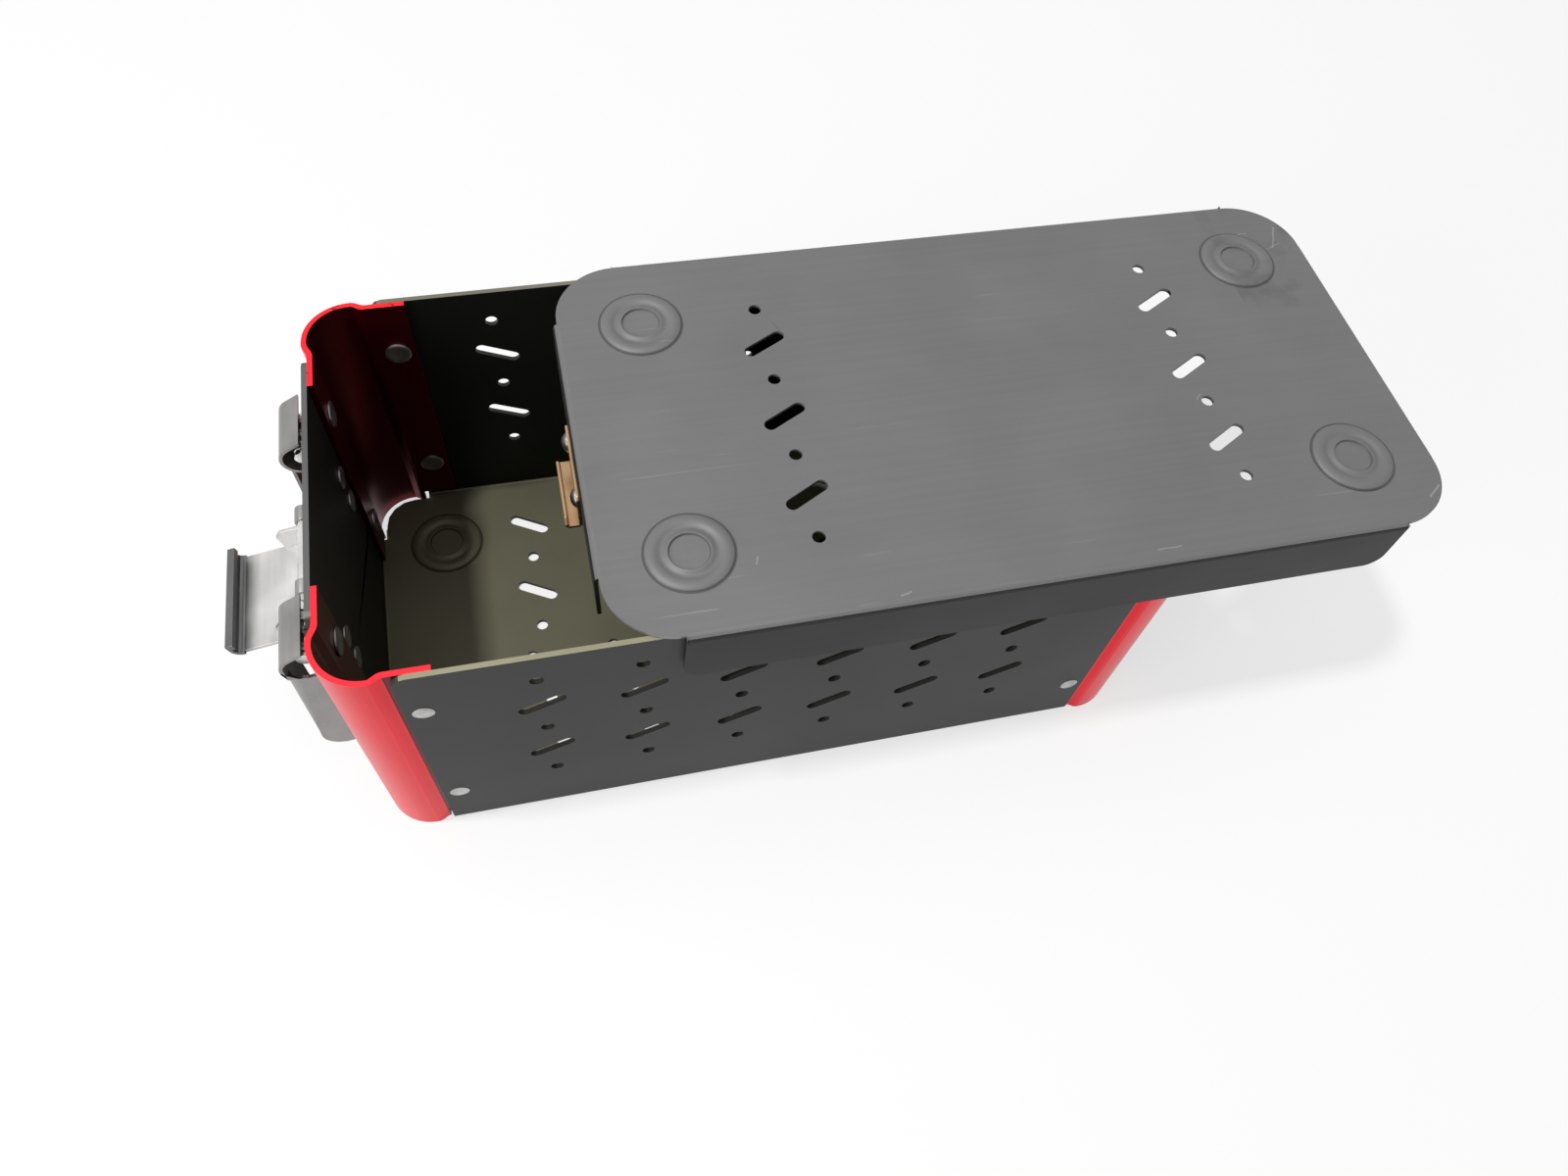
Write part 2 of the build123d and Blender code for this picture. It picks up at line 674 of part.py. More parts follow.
def handle():
    top = curl_section(90 - curl_slope, 0, True)
    lower = curl_section(0, -curl_lip_angle, False)
    body = both_sides(top, handle_inner_y, handle_outer_y)
    body += both_sides(lower, handle_inner_y, handle_arm_inner_y + 0.5)
    front = curl_out + curl_radius
    web = make_face(Polyline(
        at(front, curl_height), at(front, grip_height), at(front - handle_sheet, grip_height),
        at(front - handle_sheet, curl_height), close=True,
    ))
    body += both_sides(web, handle_arm_inner_y, handle_outer_y)
    outer = arc_points(grip_out, grip_height, grip_radius, 0, -90 - grip_lip_angle, curl_steps)
    inner = arc_points(grip_out, grip_height, grip_radius - handle_sheet, 0, -90 - grip_lip_angle, curl_steps)
    body += along_y(band(outer, inner), -handle_outer_y, handle_outer_y)
    plate = make_face(Polyline(
        at(front, grip_top), at(front, grip_height), at(front - handle_sheet, grip_height),
        at(front - handle_sheet, grip_top), close=True,
    ))
    body += along_y(plate, -handle_arm_inner_y - 1, handle_arm_inner_y + 1)
    side = make_face(Polyline(
        at(front, curl_height), at(front, grip_height), at(side_flange_out, grip_height),
        at(side_flange_out, curl_height), close=True,
    ))
    side -= end_facets(curl_out, curl_height, curl_radius - handle_sheet, 12)
    side -= Pos(*at(0, curl_height + 1)) * Rectangle(40, 12)
    side += end_facets(grip_out, grip_height, grip_radius * 0.97, 12)
    body += both_sides(side, handle_outer_y - handle_sheet, handle_outer_y)
    ear = end_facets(curl_out, curl_height, curl_radius - 0.7, 12) & (
        Pos(*at(pivot_out + 10, curl_height)) * Rectangle(20, 30)
    )
    ear += end_facets(pivot_out, pivot_height, ear_radius * 0.96)
    first = pivot_ear_inner_y + ear_sheet + running_gap
    second = pivot_ear_outer_y - ear_sheet - running_gap - handle_ear_sheet
    for y in (first, second):
        body += both_sides(ear, y, y + handle_ear_sheet)
    bore = end_disc(pivot_out, pivot_height, pivot_radius + pivot_clearance)
    body -= along_y(bore, second - 0.1, second + handle_ear_sheet + 0.1)
    bore = end_facets(pivot_out, pivot_height, pivot_radius + pivot_clearance, 12)
    body -= along_y(bore, first - 0.1, first + handle_ear_sheet + 0.1)
    return body - along_y(bore, -second - handle_ear_sheet - 0.1, -first + 0.1)


grip = handle()
write("handle_left", grip)
write("handle_right", other_end(grip))


def handle_pins():
    pins = []
    for sign in (-1, 1):
        rod = Pos(*at(pivot_out, pivot_height)) * RegularPolygon(pivot_radius, pin_sides)
        head = end_facets(pivot_out, pivot_height, pin_head_radius)
        pin = along_y(rod, pin_inner_y + pin_head / 2, pin_outer_y - pin_head / 2)
        pin += along_y(head, pin_inner_y, pin_inner_y + pin_head)
        pin += along_y(head, pin_outer_y - pin_head, pin_outer_y)
        if sign < 0:
            pin = mirror(pin, about=Plane.XZ)
        pins.append(pin)
    return pins


pins = handle_pins()
write("handle_pins_left", *pins)
write("handle_pins_right", *[other_end(pin) for pin in pins])


# Torsion springs: a sleeve of four turns on each pin, one leg on the base, one up inside the curl.
def handle_springs():
    inner = (pivot_radius + 0.1) / math.cos(math.pi / spring_sides)
    half_turn = frustum(spring_groove_radius, spring_turn_radius, spring_wire / 2, spring_sides)
    turn = half_turn + Pos(0, 0, spring_wire) * Rot(180, 0, 0) * half_turn
    sleeve = Part() + [Pos(0, 0, index * spring_wire) * turn for index in range(spring_turns)]
    sleeve -= extrude(RegularPolygon(inner, spring_sides), amount=10, both=True)
    sleeve = Rot(-90, 0, 0) * sleeve
    springs = []
    for sign in (-1, 1):
        spring = Pos(-half_length - pivot_out, spring_start, pivot_height) * sleeve
        out = -half_length - pivot_out + inner + spring_wire / 2 - 0.05
        leg = Pos(out, spring_start + (spring_turns - 0.5) * spring_wire, pivot_height)
        spring += leg * extrude(RegularPolygon(spring_wire / 2, 4), amount=-spring_leg)
        leg = Pos(out, spring_start + spring_wire / 2, pivot_height)
        spring += leg * extrude(RegularPolygon(spring_wire / 2, 4), amount=spring_tail)
        if sign < 0:
            spring = mirror(spring, about=Plane.XZ)
        springs.append(spring)
    return springs


springs = handle_springs()
write("handle_springs_left", *springs)
write("handle_springs_right", *[other_end(spring) for spring in springs])


# Clasp lever: a channel on a cross pin, its free end curled up into a wide lip.
def tilted(s, t):
    angle = math.radians(lever_droop)
    u = lever_out + s * math.cos(angle) + t * math.sin(angle)
    z = lever_height - s * math.sin(angle) + t * math.cos(angle)
    return at(u, z)


def lever():
    top = -lever_drop
    low = -lever_drop - lever_sheet
    plate = make_face(Polyline(
        tilted(lever_heel, top), tilted(lever_length, top), tilted(lever_length, low),
        tilted(lever_heel, low), close=True,
    ))
    body = along_y(plate, -lever_half_width, lever_half_width)
    lip_outer = []
    lip_inner = []
    centre = top + lip_radius
    for index in range(lip_steps + 1):
        angle = math.radians(-90 + 90 * index / lip_steps)
        for points, reach in ((lip_inner, lip_radius), (lip_outer, lip_radius + lever_sheet)):
            points.append(tilted(lever_length + reach * math.cos(angle), centre + reach * math.sin(angle)))
    lip_outer.append(tilted(lever_length + lip_radius + lever_sheet, top + lip_rise))
    lip_inner.append(tilted(lever_length + lip_radius, top + lip_rise))
    body += along_y(band(lip_outer, lip_inner), -lip_half_width, lip_half_width)
    hem = make_face(Polyline(
        tilted(lever_length + lip_radius - 1.2, top + lip_rise),
        tilted(lever_length + lip_radius + 0.2, top + lip_rise),
        tilted(lever_length + lip_radius + 0.2, top + lip_rise - 2.2),
        tilted(lever_length + lip_radius - 1.2, top + lip_rise - 2.2), close=True,
    ))
    body += along_y(hem, -lip_half_width, lip_half_width)
    flange = make_face(Polyline(
        tilted(lever_heel, low), tilted(lever_flange_length, low), tilted(lever_flange_length, 1.4),
        tilted(lever_flange_length - 2.0, lever_flange_rise), tilted(0, lever_flange_rise),
        tilted(lever_heel, 0.6), close=True,
    ))
    body += both_sides(flange, lever_half_width - lever_sheet, lever_half_width)
    bore = end_disc(lever_out, lever_height, lever_pin_radius + pivot_clearance)
    body -= along_y(bore, 0, lever_half_width + 1)
    bore = end_facets(lever_out, lever_height, lever_pin_radius + pivot_clearance, 12)
    return body - along_y(bore, -lever_half_width - 1, 0)


clasp = lever()
write("clasp_lever_left", clasp)
write("clasp_lever_right", other_end(clasp))

pin = along_y(Pos(*at(lever_out, lever_height)) * RegularPolygon(lever_pin_radius, pin_sides), -18.2, 18.2)
for sign in (-1, 1):
    low, high = sorted((sign * 17.8, sign * 18.8))
    pin += along_y(end_facets(lever_out, lever_height, 2.1, 8), low, high)
write("clasp_pin_left", pin)
write("clasp_pin_right", other_end(pin))

bar = along_y(end_facets(bar_out, bar_height, bar_radius), -16.0, 16.0)
write("latch_bar_left", bar)
write("latch_bar_right", other_end(bar))
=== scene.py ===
import json
import math

import bmesh
import bpy
from mathutils import Matrix, Vector
from mathutils.kdtree import KDTree

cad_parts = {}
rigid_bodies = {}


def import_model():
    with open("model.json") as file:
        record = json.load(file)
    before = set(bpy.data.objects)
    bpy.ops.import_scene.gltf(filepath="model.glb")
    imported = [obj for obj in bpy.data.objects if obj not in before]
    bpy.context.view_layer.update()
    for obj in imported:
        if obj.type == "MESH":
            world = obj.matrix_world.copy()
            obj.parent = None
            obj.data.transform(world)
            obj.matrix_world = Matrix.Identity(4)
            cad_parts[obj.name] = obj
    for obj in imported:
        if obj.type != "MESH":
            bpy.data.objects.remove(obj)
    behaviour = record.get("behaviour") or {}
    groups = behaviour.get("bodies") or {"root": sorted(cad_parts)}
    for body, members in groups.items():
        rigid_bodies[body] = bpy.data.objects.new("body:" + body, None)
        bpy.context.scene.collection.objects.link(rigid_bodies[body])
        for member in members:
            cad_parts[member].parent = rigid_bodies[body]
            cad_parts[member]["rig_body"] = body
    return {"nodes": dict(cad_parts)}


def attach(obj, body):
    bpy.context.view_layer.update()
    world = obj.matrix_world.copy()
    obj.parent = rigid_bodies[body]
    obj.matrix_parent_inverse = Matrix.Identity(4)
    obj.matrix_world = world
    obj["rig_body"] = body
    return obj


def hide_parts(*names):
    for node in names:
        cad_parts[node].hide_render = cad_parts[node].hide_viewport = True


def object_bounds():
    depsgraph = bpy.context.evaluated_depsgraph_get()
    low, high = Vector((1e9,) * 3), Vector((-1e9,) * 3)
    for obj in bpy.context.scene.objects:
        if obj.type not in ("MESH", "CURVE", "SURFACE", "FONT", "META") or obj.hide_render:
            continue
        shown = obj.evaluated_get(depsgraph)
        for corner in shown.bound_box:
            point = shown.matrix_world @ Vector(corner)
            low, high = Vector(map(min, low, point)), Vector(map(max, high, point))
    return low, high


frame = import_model()
cad_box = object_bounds()

# Tray shell: one blank of 1.6 mm hard-anodised aluminium, perforated, pressed and folded up.
# Its sheared edges are khaki where the dark skin is thin, and the floor keeps an olive cast.
case_x = 0.128
case_y = 0.067
case_top = 0.1015
wall = 0.0016
weld = 2e-6
broad_face = 3e-6
floor_spacing = (0.1028, 0.0413)


class Socket:
    """One output of a shader node, so that masks can be written as sums and products."""

    def __init__(self, shader, output):
        self.shader = shader
        self.output = output

    def maths(self, operation, *values):
        return self.shader.node("ShaderNodeMath", {"operation": operation}, *values)

    def __add__(self, other):
        return self.maths("ADD", self, other)

    def __mul__(self, other):
        return self.maths("MULTIPLY", self, other)

    def __sub__(self, other):
        return self.maths("SUBTRACT", self, other)

    def __rsub__(self, other):
        return self.maths("SUBTRACT", other, self)

    def __gt__(self, other):
        return self.maths("GREATER_THAN", self, other)

    def __lt__(self, other):
        return self.maths("LESS_THAN", self, other)

    __radd__ = __add__
    __rmul__ = __mul__

    def __abs__(self):
        return self.maths("ABSOLUTE", self)

    def clip(self):
        return self.maths("MAXIMUM", self.maths("MINIMUM", self, 1.0), 0.0)


class Finish:
    """A material under construction: one node method, and the surface's own coordinates."""

    def __init__(self, name, metallic=0.0, roughness=0.5, coat=0.0):
        self.material = bpy.data.materials.new(name)
        self.material.use_nodes = True
        self.tree = self.material.node_tree
        self.shader = self.tree.nodes["Principled BSDF"]
        self.shader.inputs["Metallic"].default_value = metallic
        self.shader.inputs["Roughness"].default_value = roughness
        self.shader.inputs["Coat Weight"].default_value = coat
        self.place = self.node("ShaderNodeTexCoord", {}, output="Object")
        self.normal = self.node("ShaderNodeNewGeometry", {}, output="Normal")

    def node(self, kind, settings, *values, output=0, **named):
        node = self.tree.nodes.new(kind)
        for key, value in settings.items():
            setattr(node, key, value)
        wanted = list(enumerate(values))
        wanted += [(name.replace("_", " "), value) for name, value in named.items()]
        for key, value in wanted:
            if isinstance(value, Socket):
                self.tree.links.new(value.output, node.inputs[key])
            elif value is not None:
                node.inputs[key].default_value = value
        return Socket(self, node.outputs[output])

    def split(self, vector):
        node = self.tree.nodes.new("ShaderNodeSeparateXYZ")
        self.tree.links.new(vector.output, node.inputs[0])
        return [Socket(self, output) for output in node.outputs]

    def stretch(self, x, y, z):
        return self.node("ShaderNodeMapping", {}, self.place, Scale=(x, y, z))

    def noise(self, vector, scale, detail=3.0, rough=0.5):
        return self.node(
            "ShaderNodeTexNoise", {}, Vector=vector, Scale=scale, Detail=detail, Roughness=rough
        )

    def range(self, value, low, high, new_low=0.0, new_high=1.0):
        """Stretch a span of values to a new one, held at its ends."""
        return self.node("ShaderNodeMapRange", {"clamp": True}, value, low, high, new_low, new_high)

    def colour(self, factor, first, second):
        """Mix two colours, each a tuple or a socket."""
        node = self.tree.nodes.new("ShaderNodeMix")
        node.data_type = "RGBA"
        for index, value in ((0, factor), (6, first), (7, second)):
            if isinstance(value, Socket):
                self.tree.links.new(value.output, node.inputs[index])
            elif isinstance(value, tuple):
                node.inputs[index].default_value = (*value, 1.0)
            else:
                node.inputs[index].default_value = value
        return Socket(self, node.outputs[2])

    def set(self, name, socket):
        self.tree.links.new(socket.output, self.shader.inputs[name])

    def bump(self, height, distance, strength):
        bumps = self.node("ShaderNodeBump", {}, Strength=strength, Distance=distance, Height=height)
        self.set("Normal", bumps)


def begin_piece(node, name):
    """Take a copy of a solid's mesh for dressing, its triangles joined to whole faces."""
    mesh = frame["nodes"][node].data.copy()
    mesh.name = name
    mesh.materials.clear()
    piece = bpy.data.objects.new(name, mesh)
    bpy.context.scene.collection.objects.link(piece)
    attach(piece, frame["nodes"][node]["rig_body"])
    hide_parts(node)
    bm = bmesh.new()
    bm.from_mesh(mesh)
    bmesh.ops.remove_doubles(bm, verts=bm.verts, dist=weld)
    bmesh.ops.dissolve_degenerate(bm, edges=bm.edges, dist=1e-6)
    bmesh.ops.dissolve_limit(bm, angle_limit=math.radians(0.6), verts=bm.verts, edges=bm.edges)
    return piece, bm


def ease_edges(bm, width, segments=2, angle=28):
    """Round the sharp edges a little, as deburring and tumbling leave them."""
    sharp = []
    for edge in bm.edges:
        if len(edge.link_faces) == 2 and edge.calc_face_angle(0) > math.radians(angle):
            sharp.append(edge)
    bmesh.ops.bevel(
        bm, geom=sharp, offset=width, offset_type="OFFSET", segments=segments, profile=0.5,
        affect="EDGES", clamp_overlap=True, material=-1,
    )


def end_piece(piece, bm, finish, crease=35):
    """Write the dressed mesh back and give it its finish; broad flats keep a true flat shade."""
    area = {face: face.calc_area() for face in bm.faces}
    for edge in bm.edges:
        if len(edge.link_faces) == 2:
            broad = max(area[face] for face in edge.link_faces) > broad_face
            edge.smooth = edge.calc_face_angle(0) < math.radians(10 if broad else crease)
    bmesh.ops.triangulate(bm, faces=[face for face in bm.faces if len(face.verts) > 4])
    bmesh.ops.recalc_face_normals(bm, faces=bm.faces)
    bm.to_mesh(piece.data)
    bm.free()
    piece.data.materials.append(finish.material)
    piece.data.shade_smooth()
    even = piece.modifiers.new("even_shading", "WEIGHTED_NORMAL")
    even.keep_sharp = True
    return piece


def round_rims(bm, cuts):
    """Turn punched outlines into true arcs: their rims are short closed chains of square edges."""
    square = []
    meeting = {}
    for edge in bm.edges:
        if len(edge.link_faces) == 2 and edge.calc_face_angle(0) > math.radians(80):
            square.append(edge)
            for vert in edge.verts:
                meeting.setdefault(vert, []).append(edge)
    taken = set()
    chords = []
    arcs = []
    for first in square:
        if first in taken:
            continue
        taken.add(first)
        chain = [first]
        for edge in chain:
            for vert in edge.verts:
                for other in meeting[vert]:
                    if other not in taken:
                        taken.add(other)
                        chain.append(other)
        verts = list(dict.fromkeys(vert for edge in chain for vert in edge.verts))
        middle = sum((vert.co for vert in verts), Vector()) / len(verts)
        reach = [(vert.co - middle).length for vert in verts]
        if len(chain) != len(verts) or len(chain) > 16 or max(reach) > 0.009:
            continue
        sides = [edge for edge in chain if edge.calc_length() > 0.005]
        if not sides and max(reach) - min(reach) < 2e-4:
            arcs.append((middle, sum(reach) / len(reach)))
            chords += chain
        elif len(sides) == 2:
            for vert in sides[0].verts:
                across = min(sides[1].verts, key=lambda other: (other.co - vert.co).length)
                arcs.append(((vert.co + across.co) / 2, (vert.co - across.co).length / 2))
            chords += [edge for edge in chain if edge not in sides]
    nearest = KDTree(len(arcs))
    for index, (centre, radius) in enumerate(arcs):
        nearest.insert(centre, index)
    nearest.balance()
    made = bmesh.ops.subdivide_edges(bm, edges=chords, cuts=cuts, use_grid_fill=True)
    for vert in made["geom_inner"]:
        if isinstance(vert, bmesh.types.BMVert):
            centre, index, _ = nearest.find(vert.co)
            vert.co = centre + (vert.co - centre).normalized() * arcs[index][1]


def round_about(bm, centre, axis, cuts, radii=None, least=0.0004):
    """Round the facets of every turned or curled face about one axis."""
    centre = Vector(centre)
    axis = Vector(axis)

    def radial(point):
        offset = point - centre
        return offset - axis * offset.dot(axis)

    chords = []
    for edge in bm.edges:
        first, second = (vert.co for vert in edge.verts)
        if abs((first - second).dot(axis)) > 1e-5 or edge.calc_length() < least:
            continue
        reach = radial(first).length
        if abs(reach - radial(second).length) > 4e-5 or reach < edge.calc_length() * 0.8:
            continue
        if radii is None or min(abs(reach - radius) for radius in radii) < 6e-5:
            chords.append(edge)
    by_radius = sorted({round(radial(edge.verts[0].co).length, 5) for edge in chords})
    made = bmesh.ops.subdivide_edges(bm, edges=chords, cuts=cuts, use_grid_fill=True)
    for vert in made["geom_inner"]:
        if isinstance(vert, bmesh.types.BMVert):
            out = radial(vert.co)
            wanted = [reach for reach in by_radius if reach >= out.length - 1e-6]
            if wanted:
                vert.co += out.normalized() * (wanted[0] - out.length)


# Profile of a pressed circle, as radius and rise: outer step, broad ring, valley, inner ring, and
# the step down to the disc.
circle_radius = 0.013
disc_radius = 0.0058
circle_profile = (
    (0.01288, 0.00000), (0.01272, 0.00002), (0.01256, 0.00034), (0.01215, 0.00060),
    (0.01150, 0.00083), (0.01080, 0.00096), (0.01000, 0.00094), (0.00930, 0.00076),
    (0.00870, 0.00050), (0.00810, 0.00034), (0.00750, 0.00044), (0.00700, 0.00070),
    (0.00650, 0.00090), (0.00615, 0.00096), (0.00592, 0.00088), (0.00580, 0.00040),
    (0.00570, 0.00032),
)


def within(verts, x, y, reach):
    """Whether all the vertices lie less than this far from an upright axis."""
    return all(math.hypot(vert.co.x - x, vert.co.y - y) < reach for vert in verts)


def open_circles(bm, centres, cuts):
    """Clear the faceted circles away and leave round openings in the sheet for them."""
    spare = []
    for face in bm.faces:
        if any(within(face.verts, x, y, circle_radius + 3e-5) for x, y in centres):
            spare.append(face)
    bmesh.ops.delete(bm, geom=spare, context="FACES")
    for x, y in centres:
        round_about(bm, (x, y, 0), (0, 0, 1), cuts, [circle_radius])


def press_circles(bm, centres):
    """Press the rings: each open rim steps inwards along the profile and ends in a flat disc."""
    for x, y in centres:
        rims = {}
        for edge in bm.edges:
            if edge.is_boundary and within(edge.verts, x, y, circle_radius + 2e-4):
                rims.setdefault(round(edge.verts[0].co.z, 4), []).append(edge)
        for level, rim in rims.items():
            for radius, rise in circle_profile:
                made = bmesh.ops.extrude_edge_only(bm, edges=rim)["geom"]
                rim = [item for item in made if isinstance(item, bmesh.types.BMEdge)]
                for vert in made:
                    if isinstance(vert, bmesh.types.BMVert):
                        out = Vector((vert.co.x - x, vert.co.y - y)).normalized() * radius
                        vert.co = Vector((x + out.x, y + out.y, level + rise))
                rim = [edge for edge in rim if len(edge.link_faces) == 1]
            bmesh.ops.contextual_create(bm, geom=rim)


def anodised_grey(name, skin, metallic=0.2):
    """Hard-anodised sheet: rolled grain along the case, faint clouds, dust and hairline rubs."""
    finish = Finish(name, metallic=metallic, roughness=0.45)
    finish.shader.inputs["Specular IOR Level"].default_value = 0.2
    grain = finish.noise(finish.stretch(14, 700, 700), 1.0, 3.0)
    cloud = finish.noise(finish.place, 20.0, 4.0)
    speck = finish.noise(finish.place, 1500.0, 2.0, 0.7)
    shades = [tuple(min(1.0, c * share) for c in skin) for share in (0.93, 1.07, 1.6, 2.2, 2.5)]
    tone = finish.colour(finish.range(cloud, 0.3, 0.7), shades[0], shades[1])
    tone = finish.colour(finish.range(grain, 0.35, 0.75) * 0.10, tone, shades[2])
    tone = finish.colour(finish.range(speck, 0.62, 0.8) * 0.10, tone, shades[3])
    hair = finish.noise(finish.stretch(30, 1300, 240), 1.0, 1.0, 0.3)
    hairline = finish.range(hair, 0.74, 0.77) * finish.range(cloud, 0.52, 0.64)
    tone = finish.colour(hairline * 0.3, tone, shades[4])
    finish.set("Roughness", finish.range(cloud, 0.2, 0.8, 0.40, 0.52) + grain * 0.05)
    finish.bump(grain * 0.5 + speck * 0.5, 0.00004, 0.3)
    return finish, tone, cloud


def crease_shade_lines(finish, x, y, middle, spacing):
    """Mask of the painted shade lines in the creases round the four pressed circles, from their
    middle and half spacing.
    """
    aside = abs(x - middle[0]) - spacing[0]
    ahead = abs(y - middle[1]) - spacing[1]
    radius = aside.maths("SQRT", aside * aside + ahead * ahead)
    outer = finish.range(abs(radius - circle_radius + 0.0001), 0.00022, 0.0005, 1.0, 0.0)
    inner = finish.range(abs(radius - disc_radius), 0.00010, 0.0003, 1.0, 0.0)
    return (outer + inner * 0.8).clip()


def tray_skin():
    finish, tone, cloud = anodised_grey("hard_anodised_tray", (0.036, 0.036, 0.036))
    x, y, z = finish.split(finish.place)
    nz = finish.split(finish.normal)[2]
    across = abs(y)
    along = abs(x)
    inside = (along < case_x - wall + 0.0001) * (across < case_y - wall + 0.0001)
    # Painted shade: the inside walls are near-black where the case's inside lies in shade.
    tone = finish.colour(inside * 0.95, tone, (0.006, 0.006, 0.006))
    floor = inside * (nz > 0.5) * (z < 0.006)
    mottle = finish.range(cloud, 0.3, 0.7)
    olive = finish.colour(mottle, (0.108, 0.103, 0.066), (0.130, 0.124, 0.080))
    tone = finish.colour(floor, tone, olive)
    lines = crease_shade_lines(finish, x, y, (0.0, 0.0), floor_spacing)
    # Painted shade in the creases of the floor's pressed circles.
    tone = finish.colour(floor * lines * 0.8, tone, (0.020, 0.016, 0.012))
    sheared = 1 - ((across > case_y - 0.0002) + (along > case_x - 0.0002) + inside).clip()
    sheared = sheared * (z > 0.003)
    tone = finish.colour(sheared * 0.5, tone, (0.050, 0.047, 0.036))
    punched = inside * (z < 0.0014) * (abs(nz) < 0.5)
    # Painted shade: the walls of the floor's punched holes are near-black, as recesses in shade.
    tone = finish.colour(punched, tone, (0.010, 0.009, 0.007))
    rim = (z > case_top - 0.0004) * (nz > 0.4)
    patch = finish.range(cloud, 0.25, 0.6, 0.75, 1.0)
    # The top edges are bared khaki metal, painted lighter along the near wall and darker along the
    # far wall as highlight and shade; the end walls' edges are grey.
    tone = finish.colour(rim * (y < -0.06) * patch, tone, (0.270, 0.255, 0.170))
    tone = finish.colour(rim * (y > 0.06) * patch, tone, (0.170, 0.163, 0.125))
    tone = finish.colour(rim * (across < 0.06) * patch, tone, (0.110, 0.110, 0.110))
    finish.set("Base Color", tone)
    return finish


floor_circles = [(sx * floor_spacing[0], sy * floor_spacing[1]) for sx in (-1, 1) for sy in (-1, 1)]
tray_finish = tray_skin()
tray, bm = begin_piece("tray_shell", "perforated_tray_shell")
open_circles(bm, floor_circles, 5)
round_rims(bm, 3)
ease_edges(bm, 0.00020)
press_circles(bm, floor_circles)
end_piece(tray, bm, tray_finish)

# Corner posts: extruded aluminium, 1.7 mm thick, sawn to length and anodised bright red.
# The sawn tops are coloured a brighter red than the drawn faces, and the hollows are painted dark
# as shade.
post_bend_x = 0.1133
post_bend_y = 0.0523
post_hollow = 0.01385


def post_skin():
    finish = Finish("red_anodised_post", metallic=0.85, roughness=0.36)
    x, y, z = finish.split(finish.place)
    nz = finish.split(finish.normal)[2]
    drawn = finish.noise(finish.stretch(900, 900, 9), 1.0, 2.0)
    wash = finish.noise(finish.place, 30.0, 3.0)
    red = finish.colour(finish.range(wash, 0.3, 0.7), (0.66, 0.012, 0.022), (0.76, 0.020, 0.034))
    red = finish.colour(finish.range(drawn, 0.4, 0.8) * 0.2, red, (0.80, 0.05, 0.06))
    along = abs(x)
    across = abs(y)
    out_x = along.maths("MAXIMUM", along - post_bend_x, 0.0)
    out_y = across.maths("MAXIMUM", across - post_bend_y, 0.0)
    reach = out_x.maths("SQRT", out_x * out_x + out_y * out_y)
    hollow = (reach < post_hollow) * (along < 0.1265) * (across < 0.0655) * (abs(nz) < 0.5)
    # Painted shade: the posts' inner faces are darkened to a deep maroon where the hollows lie in
    # shade.
    red = finish.colour(hollow, red, (0.11, 0.002, 0.006))
    cut = (nz > 0.7) * (z > case_top - 0.001)
    nick = finish.range(finish.noise(finish.place, 420.0, 2.0, 0.6), 0.66, 0.70)
    red = finish.colour(cut, red, (0.80, 0.020, 0.030))
    red = finish.colour(cut * nick * 0.7, red, (0.10, 0.006, 0.010))
    finish.set("Base Color", red)
    finish.set("Roughness", finish.range(wash, 0.2, 0.8, 0.26, 0.40) + cut * 0.15)
    finish.bump(drawn, 0.00004, 0.3)
    return finish


post_finish = post_skin()
for corner in ("near_left", "far_left", "near_right", "far_right"):
    post, bm = begin_piece(f"corner_post_{corner}", f"extruded_post_{corner}")
    ease_edges(bm, 0.00022)
    end_piece(post, bm, post_finish)

# Rivets: bright aluminium, domed outside and set flat and wide inside.
# The set heads inside the case are rougher, and their colour is painted darker as the shade inside
# the case; each has a rolled rim that catches the light.
dome_radius = 0.0030
low_dome = 0.0008
full_dome = 0.0017
shank_radius = 0.0015
lid_x = 0.0775


def rivet_skin():
    finish = Finish("bright_rivet", metallic=1.0, roughness=0.28)
    x, y, _ = finish.split(finish.place)
    turned = finish.noise(finish.place, 900.0, 2.0)
    grime = finish.noise(finish.place, 260.0, 3.0)
    silver = finish.colour(finish.range(grime, 0.35, 0.75), (0.50, 0.50, 0.49), (0.28, 0.275, 0.27))
    inside = (abs(x) < 0.1263) * (abs(y) < 0.0653)
    # Painted shade: set heads inside the case are darkened like the case's inside walls.
    silver = finish.colour(inside * 0.6, silver, (0.22, 0.19, 0.18))
    finish.set("Base Color", silver)
    finish.set("Roughness", finish.range(grime, 0.3, 0.8, 0.2, 0.45) + inside * 0.1)
    finish.bump(turned, 0.00003, 0.4)
    return finish


def solid_boxes(node):
    """Lowest and highest corner of each loose solid of a node."""
    bm = bmesh.new()
    bm.from_mesh(frame["nodes"][node].data)
    bmesh.ops.remove_doubles(bm, verts=bm.verts, dist=weld)
    boxes = []
    taken = set()
    for vert in bm.verts:
        if vert in taken:
            continue
        taken.add(vert)
        solid = [vert]
        for member in solid:
            for edge in member.link_edges:
                other = edge.other_vert(member)
                if other not in taken:
                    taken.add(other)
                    solid.append(other)
        low = Vector([min(member.co[i] for member in solid) for i in range(3)])
        high = Vector([max(member.co[i] for member in solid) for i in range(3)])
        boxes.append((low, high))
    bm.free()
    return boxes


def turn(bm, start, axis, profile, steps=28):
    """Spin a half profile, given as distance along the axis and radius, about that axis."""
    side = axis.orthogonal().normalized()
    verts = [bm.verts.new(start + axis * along + side * radius) for along, radius in profile]
    edges = [bm.edges.new(pair) for pair in zip(verts, verts[1:])]
    bmesh.ops.spin(
        bm, geom=verts + edges, cent=start, axis=axis, angle=2 * math.pi, steps=steps,
        use_merge=True, use_duplicate=False,
    )


